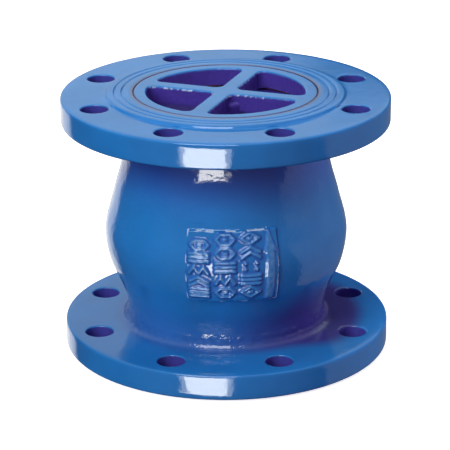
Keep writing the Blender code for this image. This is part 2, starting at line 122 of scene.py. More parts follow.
GASKET_BORE_R, GASKET_R = 55.2, 59.6
SCREW_COUNT = 6
SCREW_CIRCLE_R = 30.0
SCREW_HOLE_R = 2.7
SCREW_R = 2.3
SCREW_TIP_Z = 60.0
SCREW_HEAD_R, SCREW_HEAD_H = 4.4, 3.0
SCREW_KEY_DEPTH = 1.8
STEM_R = 7.0
STEM_COLLAR_R, STEM_COLLAR_H = 12.0, 4.7
WASHER_R = 12.2
NUT_CORNER_R = 12.7
SPRING_SEAT_BORE_R, SPRING_SEAT_R = 13.4, 20.6
SPRING_MEAN_R = 18.0
SPRING_WIRE_R = 1.25
SPRING_TURNS = 9

# How fine the visible meshes are.
BODY_COLUMNS = 228
BODY_SPACING = 3.0
BODY_ARC_STEP = 23.0
HIDDEN_SPACING = 10.0
BARREL_STEP = 2.6
CHAMBER_STEP = 6.0
MARK_CUTS = 3
TURNED_COLUMNS = 128
MEDIUM_COLUMNS = 64
SMALL_COLUMNS = 48
SPRING_SEAT_COLUMNS = 96
FRAME_VOXEL = 0.75
COIL_STEPS = 40
COIL_SIDES = 12


# ==== outlines ====

# A path of (r, z) points that starts on the axis also ends there. Any other path is closed.


def rounded(corners, step=15.0):
    """Each (r, z, fillet) corner becomes an arc, or stays sharp where its fillet is 0."""
    points = []
    for i, (r, z, fillet) in enumerate(corners):
        if fillet <= 0.0:
            points.append((r, z))
            continue
        corner = Vector((r, z))
        before = Vector(corners[i - 1][:2]) - corner
        after = Vector(corners[(i + 1) % len(corners)][:2]) - corner
        half = before.angle(after) / 2.0
        if half > math.radians(89.0):
            points.append((r, z))
            continue
        reach = min(fillet / math.tan(half), 0.85 * before.length, 0.85 * after.length)
        radius = reach * math.tan(half)
        middle = corner + (before.normalized() + after.normalized()).normalized() * (
            radius / math.sin(half))
        first = corner + before.normalized() * reach - middle
        final = corner + after.normalized() * reach - middle
        start = math.atan2(first.y, first.x)
        sweep = (math.atan2(final.y, final.x) - start + math.pi) % math.tau - math.pi
        count = max(2, math.ceil(abs(math.degrees(sweep)) / step))
        for k in range(count + 1):
            angle = start + sweep * k / count
            points.append((middle.x + radius * math.cos(angle),
                           middle.y + radius * math.sin(angle)))
    return points


def refined(path, spacing):
    """Splits long stretches, so that no step is longer than spacing(r, z) at its middle."""
    closed = path[0][0] > 0.0
    ends = path[1:] + path[:1] if closed else path[1:]
    points = []
    for (r0, z0), (r1, z1) in zip(path, ends):
        length = math.hypot(r1 - r0, z1 - z0)
        count = max(1, math.ceil(length / spacing((r0 + r1) / 2.0, (z0 + z1) / 2.0)))
        points += [(r0 + (r1 - r0) * k / count, z0 + (z1 - z0) * k / count)
                   for k in range(count)]
    if not closed:
        points.append(path[-1])
    return points


def on_circle(radius, degrees):
    angle = math.radians(degrees)
    return radius * math.cos(angle), radius * math.sin(angle)


def arc(centre, radius, start, end, count):
    turns = [on_circle(radius, start + (end - start) * i / count) for i in range(count + 1)]
    return [(centre[0] + x, centre[1] + y) for x, y in turns]


def barrel_slope(z):
    i = [station[0] for station in BARREL].index(z)
    before = BARREL[max(i - 1, 0)]
    after = BARREL[min(i + 1, len(BARREL) - 1)]
    if BARREL[i][1] > max(before[1], after[1]):
        return 0.0
    return (after[1] - before[1]) / (after[0] - before[0])


def barrel_radius(z):
    """Outer radius of the barrel: a cubic through the stations, level at its widest place."""
    if z >= BARREL[0][0]:
        return BARREL[0][1]
    for (z1, r1), (z0, r0) in zip(BARREL, BARREL[1:]):
        if z >= z0:
            break
    t = (z - z0) / (z1 - z0)
    m0 = barrel_slope(z0) * (z1 - z0)
    m1 = barrel_slope(z1) * (z1 - z0)
    return ((2 * t**3 - 3 * t**2 + 1) * r0 + (t**3 - 2 * t**2 + t) * m0
            + (3 * t**2 - 2 * t**3) * r1 + (t**3 - t**2) * m1)


# ==== meshes ====

def add_object(name, data):
    item = bpy.data.objects.new(name, data)
    bpy.context.scene.collection.objects.link(item)
    return item


@contextmanager
def editing(mesh):
    """A bmesh of this mesh, written back to it at the end of the block."""
    shape = bmesh.new()
    shape.from_mesh(mesh)
    yield shape
    shape.to_mesh(mesh)
    shape.free()


def spun(degrees, axis="Z"):
    return Matrix.Rotation(math.radians(degrees), 4, axis)


def moved(x, y, z):
    return Matrix.Translation(Vector((x, y, z)) * MM)


def lathe(name, path, columns):
    """Turns a path about Z. It runs down the outer side first, so the faces look outwards."""
    closed = path[0][0] > 0.0
    rows = np.array(path) * MM
    turn = np.arange(columns) * (math.tau / columns)
    points = np.stack([np.outer(rows[:, 0], np.cos(turn)), np.outer(rows[:, 0], np.sin(turn)),
                       np.repeat(rows[:, 1:2], columns, axis=1)], axis=-1).reshape(-1, 3)
    count = len(rows)
    upper = np.arange(count if closed else count - 1)[:, None] * columns
    lower = (upper + columns) % (count * columns)
    here = np.arange(columns)[None, :]
    beside = (here + 1) % columns
    faces = np.stack([upper + here, lower + here, lower + beside, upper + beside], axis=-1)
    mesh = bpy.data.meshes.new(name)
    mesh.from_pydata(points.tolist(), [], faces.reshape(-1, 4).tolist())
    if not closed:
        with editing(mesh) as shape:
            bmesh.ops.remove_doubles(shape, verts=shape.verts, dist=1e-7)
    return add_object(name, mesh)


def evaluated_mesh(item):
    bpy.context.view_layer.update()
    view = item.evaluated_get(bpy.context.evaluated_depsgraph_get())
    return bpy.data.meshes.new_from_object(view)


def apply_modifiers(item):
    mesh = evaluated_mesh(item)
    item.modifiers.clear()
    item.data = mesh


def combine(item, tool, operation="DIFFERENCE", solver="EXACT"):
    """Cuts item with tool, or joins tool to it, and removes tool."""
    change = item.modifiers.new("combine", "BOOLEAN")
    change.operation = operation
    change.solver = solver
    change.object = tool
    apply_modifiers(item)
    bpy.data.objects.remove(tool, do_unlink=True)


def merged(name, items):
    """One object holding the shells of several, which are removed."""
    mesh = bpy.data.meshes.new(name)
    with editing(mesh) as shape:
        for item in items:
            part = item.data.copy()
            part.transform(item.matrix_world)
            shape.from_mesh(part)
            bpy.data.objects.remove(item, do_unlink=True)
    return add_object(name, mesh)


def round_edges(shape, size, segments):
    bmesh.ops.bevel(shape, geom=shape.edges[:], offset=size * MM, segments=segments, profile=0.5,
                    affect="EDGES")


def prism(name, sides, radius, bottom, top, spot=(0.0, 0.0), soft=0.0):
    """An upright prism, with rounded edges where soft is not 0."""
    mesh = bpy.data.meshes.new(name)
    with editing(mesh) as shape:
        bmesh.ops.create_cone(shape, cap_ends=True, segments=sides, radius1=radius * MM,
                              radius2=radius * MM, depth=(top - bottom) * MM)
        if soft:
            round_edges(shape, soft, 3)
        middle = Vector((*spot, (top + bottom) / 2.0)) * MM
        bmesh.ops.translate(shape, vec=middle, verts=shape.verts)
    return add_object(name, mesh)


def plate(name, outlines, bottom, top, edge):
    """A flat plate with rounded edges: the first outline is its rim, the others are its windows."""
    curve = bpy.data.curves.new(name, "CURVE")
    curve.dimensions = "2D"
    curve.fill_mode = "BOTH"
    curve.extrude = ((top - bottom) / 2.0 - edge) * MM
    curve.bevel_depth = edge * MM
    curve.bevel_resolution = 3
    curve.offset = -edge * MM
    for outline in outlines:
        line = curve.splines.new("POLY")
        line.points.add(len(outline) - 1)
        for point, (x, y) in zip(line.points, outline):
            point.co = (x * MM, y * MM, 0.0, 1.0)
        line.use_cyclic_u = True
    flat = add_object(name, curve)
    flat.location.z = (top + bottom) / 2.0 * MM
    mesh = evaluated_mesh(flat)
    mesh.transform(flat.matrix_world)
    bpy.data.objects.remove(flat, do_unlink=True)
    with editing(mesh) as shape:
        bmesh.ops.remove_doubles(shape, verts=shape.verts, dist=1e-6)
        bmesh.ops.recalc_face_normals(shape, faces=shape.faces)
    return add_object(name, mesh)


def rows_of(items, field):
    values = np.empty(len(items) * 3, np.float32)
    items.foreach_get(field, values)
    return values.reshape(-1, 3).astype(float)


def points_of(mesh):
    return rows_of(mesh.vertices, "co") / MM


def radius_of(points):
    return np.hypot(points[:, 0], points[:, 1])


def set_points(mesh, points):
    mesh.vertices.foreach_set("co", (points * MM).astype(np.float32).ravel())
    mesh.update()


def set_mask(mesh, name, values):
    attribute = mesh.attributes.new(name, "FLOAT", "POINT")
    attribute.data.foreach_set("value", np.asarray(values, np.float32))


def lumps(points, size, octaves=2, shift=0.0):
    """Smooth noise about -1 to 1 whose features are size millimetres across."""
    move = Vector((shift, 2.0 * shift, -shift))
    return np.array([noise.fractal(Vector(p) / size + move, 1.0, 2.0, octaves) for p in points])


def step_up(values, low, high):
    t = np.clip((values - low) / (high - low), 0.0, 1.0)
    return t * t * (3.0 - 2.0 * t)


# ==== cast marks ====

# The block of raised marks on the front of the barrel, in millimetres: u runs round the barrel
# from its front line, v is the height. The motifs are plain shapes and spell nothing.
MARK_RADIUS = 79.0
PAD_LEFT, PAD_RIGHT = -24.8, 34.4
PAD_BOTTOM, PAD_TOP = 57.5, 104.0
PAD_HEIGHT = 1.5
PAD_EDGE = 0.6
MARK_HEIGHT = 1.5
MARK_HALF = 1.0
MARK_SOFT = 1.9
ARROW_U = 28.6
ARROW_TIP, ARROW_NECK, ARROW_FOOT = 105.5, 90.0, 59.0
ARROW_HEAD_HALF, ARROW_SHAFT_HALF = 4.0, 2.5
ARROW_HEIGHT = 1.1
PAD_RIPPLE = 0.10
MOTIF_HALF_WIDTH = 5.9
MOTIF_HALF_SHARE = 0.40
MARK_COLUMNS = (
    (-16.2, 60.5, 99.0, ("bars", "chevron", "wave", "bars", "hexagon")),
    (0.2, 60.5, 103.0, ("hexagon", "wave", "bars", "hexagon", "hexagon")),
    (16.2, 60.5, 103.5, ("diamond", "bars", "dots", "chevron", "diamond")),
)


def ring_of(u, v, half_u, half_v, corners):
    """The strokes of a closed ring and of the short bar in its middle."""
    turns = [on_circle(1.0, 360.0 * i / corners) for i in range(corners)]
    points = [(u + half_u * x, v + half_v * y) for x, y in turns]
    rim = [(*a, *b) for a, b in zip(points, points[1:] + points[:1])]
    return rim + [(u - 1.0, v, u + 1.0, v)]


def motif(kind, u, v, half_u, half_v):
    """The strokes (u0, v0, u1, v1) of one plain shape."""
    if kind == "bars":
        return [(u - half_u, v + k * half_v, u + half_u, v + k * half_v) for k in (-0.8, 0.0, 0.8)]
    if kind == "chevron":
        return [(u + s * half_u, v + k, u, v + k + s * s * half_v)
                for k in (-half_v, 0.0) for s in (-1.0, 1.0)]
    if kind == "wave":
        steps = [(u - half_u + half_u * k / 2.0, v + half_v * (0.7 if k % 2 else -0.7))
                 for k in range(5)]
        return [(*a, *b) for a, b in zip(steps, steps[1:])]
    if kind == "dots":
        return [(u + i * half_u * 0.6, v + j * half_v * 0.55, u + i * half_u * 0.6 + 0.1,
                 v + j * half_v * 0.55) for i in (-1, 1) for j in (-1, 1)]
    return ring_of(u, v, half_u, half_v, 4 if kind == "diamond" else 6)


def mark_strokes():
    strokes = []
    for u, bottom, top, kinds in MARK_COLUMNS:
        share = (top - bottom) / len(kinds)
        for i, kind in enumerate(kinds):
            strokes += motif(kind, u, bottom + share * (i + 0.5), MOTIF_HALF_WIDTH,
                             share * MOTIF_HALF_SHARE)
    return strokes


def stroke_distance(u, v, strokes):
    nearest = np.full(len(u), 1e9)
    for u0, v0, u1, v1 in strokes:
        du, dv = u1 - u0, v1 - v0
        t = np.clip(((u - u0) * du + (v - v0) * dv) / (du * du + dv * dv), 0.0, 1.0)
        nearest = np.minimum(nearest, np.hypot(u - u0 - t * du, v - v0 - t * dv))
    return nearest


def arrow_distance(u, v):
    """How far a point is outside the flow arrow, negative inside it."""
    slope = ARROW_HEAD_HALF / (ARROW_TIP - ARROW_NECK)
    side = (np.abs(u - ARROW_U) - (ARROW_TIP - v) * slope) / math.hypot(1.0, slope)
    head = np.maximum(side, ARROW_NECK - v)
    shaft = np.maximum(np.abs(u - ARROW_U) - ARROW_SHAFT_HALF,
                       np.maximum(ARROW_FOOT - v, v - ARROW_NECK - 1.0))
    return np.minimum(head, shaft)


def plateau(distance, soft):
    """1 inside a shape, 0 outside it, with a rounded step at its edge."""
    return 1.0 - step_up(distance, -soft / 2.0, soft / 2.0)


def mark_relief(points):
    """The block over the barrel: its height, a painted highlight on the crests, painted shade
    beside the strokes and painted glints on the rims.
    """
    u = np.arctan2(points[:, 0], -points[:, 1]) * MARK_RADIUS
    v = points[:, 2]
    wobble = lumps(points, 4.0, 2, 4.0) * 0.4
    outside = np.maximum(np.maximum(PAD_LEFT - u, u - PAD_RIGHT),
                         np.maximum(PAD_BOTTOM - v, v - PAD_TOP)) + wobble
    strokes = stroke_distance(u, v, mark_strokes()) + wobble * 0.6 - MARK_HALF
    arrow = arrow_distance(u, v) + wobble * 0.4
    height = PAD_HEIGHT * np.clip(0.5 - outside / PAD_EDGE, 0.0, 1.0)
    height += MARK_HEIGHT * plateau(strokes, MARK_SOFT) + ARROW_HEIGHT * plateau(arrow, MARK_SOFT)
    height += PAD_RIPPLE * plateau(outside + 0.5, 1.0) * lumps(points, 3.2, 2, 9.0)
    nearest = np.minimum(strokes, arrow)
    # Painted highlight on the strokes' crests.
    crest = plateau(nearest + 0.5, 0.8)
    # Painted glints in patches along the pad's rims.
    glint = plateau(np.abs(outside) - 0.4, 0.5) * step_up(lumps(points, 9.0, 2, 21.0), -0.15, 0.0)
    # Painted shade in a band just beside the strokes, inside the pad.
    gap_shade = plateau(np.abs(nearest - 0.7) - 0.5, 0.8) * plateau(outside - 0.5, 1.0)
    return height, crest, gap_shade, glint


# ==== valve body ====

def groove_corners(radius, face, floor):
    return [(radius - GROOVE_HALF, face, 0.5), (radius, floor, 0.4),
            (radius + GROOVE_HALF, face, 0.5)]


def body_corners():
    """The body's section: down its outer side, across the inlet face, up through the passage."""
    corners = [(SOCKET_R, FACE_TO_FACE, 0.35)]
    for radius in GROOVE_RADII:
        corners += groove_corners(radius, FACE_TO_FACE, FACE_TO_FACE - GROOVE_DEPTH)
    corners += [(RAISED_R - 0.3, FACE_TO_FACE, 1.3), (RAISED_R + 0.9, UPPER_RIM_Z, 1.3),
                (FLANGE_R, UPPER_RIM_Z, 1.5), (FLANGE_R, UPPER_FLANGE_Z, 1.6),
                (barrel_radius(UPPER_FLANGE_Z), UPPER_FLANGE_Z, NECK_FILLET)]
    height = UPPER_FLANGE_Z - NECK_FILLET - 2.0
    while height > LOWER_FLANGE_Z + FOOT_FILLET + 1.0:
        corners.append((barrel_radius(height), height, 0.0))
        height -= BARREL_STEP
    corners += [(barrel_radius(LOWER_FLANGE_Z), LOWER_FLANGE_Z, FOOT_FILLET),
                (FLANGE_R, LOWER_FLANGE_Z, 1.7), (FLANGE_R, RAISED_H, 1.5),
                (RAISED_R + 0.3, RAISED_H, 0.7), (RAISED_R, 0.0, 0.7)]
    for radius in reversed(GROOVE_RADII):
        corners += reversed(groove_corners(radius, 0.0, GROOVE_DEPTH))
    corners += [(INLET_R, 0.0, 1.0), (INLET_R, SEAT_POCKET_FLOOR, 0.3),
                (SEAT_POCKET_R, SEAT_POCKET_FLOOR, 0.3), (SEAT_POCKET_R, SEAT_POCKET_TOP, 0.8)]
    height = CHAMBER_FLOOR
    while height < THROAT_Z:
        corners.append((barrel_radius(height) - WALL, height, 0.0))
        height += CHAMBER_STEP
    corners += [(THROAT_R, THROAT_Z + 2.0, 2.0), (THROAT_R, SOCKET_FLOOR, 0.4),
                (SOCKET_R, SOCKET_FLOOR, 0.3)]
    return corners


def body_spacing(r, z):
    inside = r < SOCKET_R + 0.5 and 1.0 < z < FACE_TO_FACE - 1.0
    return HIDDEN_SPACING if inside else BODY_SPACING


def circle_places(radius, count):
    return [on_circle(radius, 360.0 / count * (i + 0.5)) for i in range(count)]


# The drill is turned a little and ends a hair outside the flange's faces, so that no edge or face
# of it lies exactly on one of the body's.
DRILL_TURN = 3.3
DRILL_CLEAR = 0.004
DRILL_REACH = 3.0
DRILL_COLUMNS = 40


def drill_body(body):
    """The sixteen bolt holes, with the edges that paint leaves soft."""
    drills = []
    wide = BOLT_HOLE_R + DRILL_REACH
    for bottom, top in ((RAISED_H, LOWER_FLANGE_Z), (UPPER_FLANGE_Z, UPPER_RIM_Z)):
        above, below = top + DRILL_REACH, bottom - DRILL_REACH
        path = rounded([(0.0, above, 0.0), (wide, above, 0.0), (wide, top, 0.0),
                        (BOLT_HOLE_R, top, 1.0), (BOLT_HOLE_R, bottom, 1.0), (wide, bottom, 0.0),
                        (wide, below, 0.0), (0.0, below, 0.0)])
        path = [(r, z + DRILL_CLEAR * (z >= top - 1e-6) - DRILL_CLEAR * (z <= bottom + 1e-6))
                for r, z in path]
        for x, y in circle_places(BOLT_CIRCLE_R, BOLT_COUNT):
            drill = lathe("drill", path, DRILL_COLUMNS)
            drill.data.transform(moved(x, y, 0.0) @ spun(DRILL_TURN))
            drills.append(drill)
    combine(body, merged("drills", drills), solver="MANIFOLD")


def refine_marks(body):
    """Splits the faces under the marks finely and puts the new points on the barrel's curve."""

    def in_block(point):
        radius = math.hypot(point.x, point.y) / MM
        u = math.atan2(point.x, -point.y) * MARK_RADIUS
        v = point.z / MM
        return (radius > SOCKET_R + 2.0 and PAD_LEFT - 3.0 < u < PAD_RIGHT + 3.0
                and PAD_BOTTOM - 4.0 < v < PAD_TOP + 5.0)

    with editing(body.data) as shape:
        block = [f for f in shape.faces if all(in_block(vert.co) for vert in f.verts)]
        edges = sorted({edge for face in block for edge in face.edges}, key=lambda e: e.index)
        bmesh.ops.subdivide_edges(shape, edges=edges, cuts=MARK_CUTS, use_grid_fill=True)
        for vert in shape.verts:
            if in_block(vert.co):
                stretch = barrel_radius(vert.co.z / MM) * MM / math.hypot(vert.co.x, vert.co.y)
                vert.co.x *= stretch
                vert.co.y *= stretch


# How far the cast surface strays from its nominal shape: the size, octaves and shift of the lumps,
# then their height on the barrel and on the turned flanges.
CAST_COARSE = (22.0, 2, 1.0, 0.20, 0.04)
CAST_FINE = (6.5, 3, 7.0, 0.05, 0.02)
FILLET_ROUGH = 4.0


def stray(points, share, *layers):
    """How far lumps lift a surface, from their first height at share 1 to their last at share 0,
    and the last layer's lumps alone."""
    total = np.zeros(len(points))
    for size, octaves, shift, high, low in layers:
        lump = lumps(points, size, octaves, shift)
        total += (share * high + (1.0 - share) * low) * lump
    return total, lump


def cast_surface(body):
    """Lumpy paint over sand-cast iron: strongest on the barrel, weak on the turned flanges."""
    mesh = body.data
    points = points_of(mesh)
    normals = rows_of(mesh.vertex_normals, "vector")
    radius = radius_of(points)
    height = points[:, 2]
    barrel = step_up(height, LOWER_FLANGE_Z, LOWER_FLANGE_Z + 8.0) * (
        1.0 - step_up(height, UPPER_FLANGE_Z - 8.0, UPPER_FLANGE_Z))
    offset, fine = stray(points, barrel, CAST_COARSE, CAST_FINE)
    fine *= CAST_FINE[-1]
    outer = radius > SOCKET_R + 1.5
    offset = np.where(outer, offset, fine)
    front = outer & (points[:, 1] < 0.0) & (barrel > 0.5) & (radius < FLANGE_R - 15.0)
    relief, *shades = mark_relief(points[front])
    offset[front] += relief
    # The marks' painted highlight, painted shade and painted glints go on as masks.
    for name, shade in zip(("crest", "gap_shade", "glint"), shades):
        mask = np.zeros(len(points))
        mask[front] = shade
        set_mask(mesh, name, mask)
    limit = (radius > FLANGE_R - 2.0) | (height > FACE_TO_FACE - 1.5) | (height < 1.5)
    offset = np.where(limit, np.minimum(offset, 0.0) - np.abs(fine), offset)
    points += normals * offset[:, None]
    points[:, :2] /= np.maximum(radius_of(points) / FLANGE_R, 1.0)[:, None]
    points[:, 2] = np.clip(points[:, 2], 0.0, FACE_TO_FACE)
    set_points(mesh, points)
    fillet = 1.0 - step_up(np.abs(height - LOWER_FLANGE_Z - 4.0), 3.0, 7.0)
    fillet *= 1.0 - step_up(radius, 66.0, 71.0)
    set_mask(mesh, "cast", np.where(outer, barrel + FILLET_ROUGH * fillet, 0.0))


# How strongly shade is painted on the barrel's neck and on its foot.
NECK_DARK = 0.8
FOOT_DARK = 0.45
FOOT_DARKER = 0.5


def body_masks(body):
    """Masks of painted shade, and of the frame's seam. recess is 1 where light hardly comes, such
    as bolt holes, and paints shade there; joint marks the seam. neck and foot paint shade on the
    barrel's two ends, under the flanges, the foot most at +X."""
    mesh = body.data
    points = points_of(mesh)
    radius = radius_of(points)
    side, height = points[:, 0], points[:, 2]
    hole = np.full(len(points), 1e9)
    for x, y in circle_places(BOLT_CIRCLE_R, BOLT_COUNT):
        hole = np.minimum(hole, np.hypot(side - x, points[:, 1] - y))
    level = np.minimum(np.abs(height - UPPER_RIM_Z), np.abs(height - LOWER_FLANGE_Z))
    # Painted shade in the bolt holes, and inside the passage below the outlet face.
    recess = (1.0 - step_up(hole, BOLT_HOLE_R + 0.2, BOLT_HOLE_R + 0.8)) * step_up(level, 0.3, 1.2)
    recess[(height > LOWER_FLANGE_Z) & (height < UPPER_FLANGE_Z)] = 0.0
    inside = (radius < SOCKET_R + 0.4) & (height > 1.5)
    recess = np.where(inside, step_up(FACE_TO_FACE - height, 0.5, 2.0), recess)
    joint = 1.0 - step_up(np.abs(radius - SOCKET_R), 0.15, 0.7)
    joint *= step_up(height, FACE_TO_FACE - 2.0, FACE_TO_FACE - 0.5)
    # Painted shade on the foot, reaching higher and wider towards +X, where the barrel's shadow
    # falls.
    lean = step_up(side, -10.0, 50.0)
    shade = step_up(side, 35.0, 80.0)
    foot = 1.0 - step_up(height, LOWER_FLANGE_Z + 14.0 * lean, 54.0 + 20.0 * lean)
    foot *= 1.0 - step_up(radius, 67.0 + 16.0 * shade, 78.0 + 18.0 * shade)
    foot *= FOOT_DARK + FOOT_DARKER * lean
    # Painted shade on the neck, where the upper flange shadows it.
    neck = NECK_DARK * step_up(height, 104.0, 140.0) * (1.0 - step_up(radius, 76.0, 95.0))
    outside = (radius > SOCKET_R + 1.0) & (height > LOWER_FLANGE_Z - 1.0) & (
        height < UPPER_FLANGE_Z + 1.0)
    set_mask(mesh, "recess", recess)
    set_mask(mesh, "neck", neck * outside)
    set_mask(mesh, "foot", foot * outside)
    set_mask(mesh, "joint", joint)


def build_body():
    path = refined(rounded(body_corners(), step=BODY_ARC_STEP), body_spacing)
    body = lathe("body_casting", path, BODY_COLUMNS)
    drill_body(body)
    refine_marks(body)
    cast_surface(body)
    body_masks(body)
    place(body, "blue_coating", "housing", "valve_body", 55.0)


# ==== guide frame ====

WINDOW_INNER_ROUND, WINDOW_OUTER_ROUND = 5.0, 4.5
VENT_R = 2.0
VENT_Z = 145.0
RIB_COARSE = (12.0, 2, 3.0, 0.18, 0.05)
RIB_FINE = (2.6, 2, 11.0, 0.28, 0.015)


def window_outline(turn):
    """A quarter window between two ribs, with its three corners rounded."""
    edge = RIB_WIDTH / 2.0
    inner, outer = WINDOW_INNER_ROUND, WINDOW_OUTER_ROUND
    side = edge + outer
    reach = math.sqrt((WINDOW_R - outer)**2 - side**2)
    swing = math.degrees(math.atan2(side, reach))
    corner = edge + inner
    points = arc((corner, corner), inner, 180.0, 270.0, 8)
    points += [(corner + (reach - corner) * k / 40.0, edge) for k in range(1, 40)]
    points += arc((reach, side), outer, -90.0, swing, 8)
    points += arc((0.0, 0.0), WINDOW_R, swing, 90.0 - swing, 48)[1:-1]
    points += arc((side, reach), outer, 90.0 - swing, 180.0, 8)
    points += [(edge, reach + (corner - reach) * k / 40.0) for k in range(1, 40)]
    c, s = math.cos(math.radians(turn)), math.sin(math.radians(turn))
    return [(c * x - s * y, s * x + c * y) for x, y in points]


def frame_surface(item):
    """Lumpy cast ribs, kept flush on the outlet face and true where the frame fits or guides."""
    mesh = item.data
    points = points_of(mesh)
    normals = rows_of(mesh.vertex_normals, "vector")
    radius = radius_of(points)
    top = step_up(points[:, 2], FRAME_BOTTOM - 4.0, FACE_TO_FACE - 2.0)
    flat = np.abs(normals[:, 2])
    offset, fine = stray(points, 1.0 - flat, RIB_COARSE, RIB_FINE)
    offset = np.where(radius > FRAME_R - 1.0, -0.02 * np.abs(fine), offset)
    offset = np.where((flat > 0.9) & (top > 0.95), -np.abs(offset) * 0.6, offset)
    guided = (radius < BUSH_SOCKET_R + 0.2) & (points[:, 2] < TUBE_BORE_TOP + 0.2)
    offset = np.where(guided, 0.0, offset)
    points += normals * offset[:, None]
    points[:, 2] = np.clip(points[:, 2], TUBE_BOTTOM, FACE_TO_FACE)
    set_points(mesh, points)
    radius = radius_of(points)
    depth = FACE_TO_FACE - points[:, 2]
    # Painted shade on all of the frame below its outlet face: the windows' sides, the ribs and the
    # tube.
    recess = step_up(depth, 0.35, 1.4)
    set_mask(mesh, "recess", recess)
    set_mask(mesh, "joint", step_up(radius, FRAME_R - 0.7, FRAME_R - 0.15) * (1.0 - recess))
    # Painted glints in patches along the ribs' edges, just under the outlet face.
    glint = plateau(np.abs(depth - 1.0) - 0.5, 0.5) * step_up(lumps(points, 2.6, 2, 31.0), 0.1, 0.35)
    set_mask(mesh, "glint", 0.6 * glint * (radius < WINDOW_R - 1.0))


def build_guide_frame():
    rim = arc((0.0, 0.0), SOCKET_R - 0.1, 0.0, 360.0, 240)[:-1]
    windows = [window_outline(RIB_ANGLE + 90.0 * i) for i in range(4)]
    item = plate("outlet_guide_frame", [rim] + windows, FRAME_BOTTOM, FACE_TO_FACE, 0.5)
    tube = lathe("tube", rounded([
        (0.0, TUBE_TOP, 0.0), (TUBE_R, TUBE_TOP, 2.0),
        (TUBE_R, COLLAR_Z + COLLAR_THICK + 5.0, 3.0), (COLLAR_R, COLLAR_Z + COLLAR_THICK, 1.0),
        (COLLAR_R, COLLAR_Z, 0.8), (TUBE_R, COLLAR_Z, 0.8), (TUBE_R, TUBE_BOTTOM, 0.8),
        (0.0, TUBE_BOTTOM, 0.0)]), SMALL_COLUMNS * 2)
    combine(item, tube, "UNION")
    bush_top = TUBE_BOTTOM + BUSH_LENGTH
    bore = lathe("bore", [
        (0.0, TUBE_BORE_TOP), (TUBE_BORE_R, TUBE_BORE_TOP), (TUBE_BORE_R, bush_top),
        (BUSH_SOCKET_R, bush_top), (BUSH_SOCKET_R, TUBE_BOTTOM - 3.0), (0.0, TUBE_BOTTOM - 3.0)],
        SMALL_COLUMNS)
    combine(item, bore)
    vent = prism("vent", 24, VENT_R, -20.0, 20.0)
    vent.data.transform(moved(0.0, 0.0, VENT_Z) @ spun(90.0, "X"))
    combine(item, vent)
    remesh = item.modifiers.new("even", "REMESH")
    remesh.mode = "VOXEL"
    remesh.voxel_size = FRAME_VOXEL * MM
    soften = item.modifiers.new("soften", "SMOOTH")
    soften.factor = 0.5
    soften.iterations = 3
    apply_modifiers(item)
    frame_surface(item)
    place(item, "frame_coating", "housing", "guide_frame", 60.0)


# ==== materials ====

class Nodes:
    """A node tree and the few shortcuts that the materials and the world share."""

    def __init__(self, tree):
        self.tree = tree

    def add(self, kind):
        return self.tree.nodes.new("ShaderNode" + kind)

    def link(self, source, target):
        self.tree.links.new(source, target)

    def feed(self, socket, value):
        """Sets a socket to a number or a colour, or links another node's output to it."""
        if isinstance(value, bpy.types.NodeSocket):
            self.link(value, socket)
        else:
            socket.default_value = (*value, 1.0) if isinstance(value, tuple) else value

    def fed(self, node, output, *values):
        """Feeds a node's first inputs and gives one of its outputs."""
        for socket, value in zip(node.inputs, values):
            self.feed(socket, value)
        return node.outputs[output]

    def maths(self, operation, *values):
        change = self.add("Math")
        change.operation = operation
        return self.fed(change, "Value", *values)

    def product(self, first, *others):
        for other in others:
            first = self.maths("MULTIPLY", first, other)
        return first

    def highest(self, first, *others):
        for other in others:
            first = self.maths("MAXIMUM", first, other)
        return first

    def remap(self, source, low, high, to_low=0.0, to_high=1.0, kind="LINEAR"):
        change = self.add("MapRange")
        change.interpolation_type = kind
        return self.fed(change, "Result", source, low, high, to_low, to_high)

    def choose(self, factor, first, second):
        return self.fed(self.add("MixShader"), "Shader", factor, first, second)

    def axes(self, source):
        split = self.add("SeparateXYZ")
        self.link(source, split.inputs["Vector"])
        return split.outputs


class Shader(Nodes):
    """A new Principled material."""

    def __init__(self, name, colour, metallic, roughness, **fixed):
        self.material = bpy.data.materials.new(name)
        self.material.use_nodes = True
        super().__init__(self.material.node_tree)
        self.main = self.tree.nodes["Principled BSDF"]
        fixed.update(Base_Color=colour, Metallic=metallic, Roughness=roughness)
        for socket, value in fixed.items():
            self.feed(self.main.inputs[socket.replace("_", " ")], value)
        self.place = self.add("TexCoord").outputs["Object"]
        self.material.diffuse_color = (*colour, 1.0)

    def noise(self, scale, detail=2.0):
        texture = self.add("TexNoise")
        texture.inputs["Scale"].default_value = scale
        texture.inputs["Detail"].default_value = detail
        self.link(self.place, texture.inputs["Vector"])
        return texture.outputs["Fac"]

    def mix(self, factor, first, second):
        change = self.add("Mix")
        change.data_type = "RGBA"
        self.link(factor, change.inputs["Factor"])
        self.feed(change.inputs[6], first)
        self.feed(change.inputs[7], second)
        return change.outputs[2]

    def attribute(self, name, share=None):
        """A mask of the mesh; 0 where the mesh has none."""
        reader = self.add("Attribute")
        reader.attribute_name = name
        mask = reader.outputs["Fac"]
        return self.product(mask, share) if share else mask

    def pointiness(self, low, high):
        return self.remap(self.add("NewGeometry").outputs["Pointiness"], low, high)

    def bump(self, height, strength, distance, before=None):
        change = self.add("Bump")
        change.inputs["Strength"].default_value = strength
        change.inputs["Distance"].default_value = distance
        self.link(height, change.inputs["Height"])
        if before:
            self.link(before, change.inputs["Normal"])
        return change.outputs["Normal"]

    def set(self, socket, source):
        self.link(source, self.main.inputs[socket])


def shaded(colour, factor):
    return tuple(min(1.0, c * factor) for c in colour)


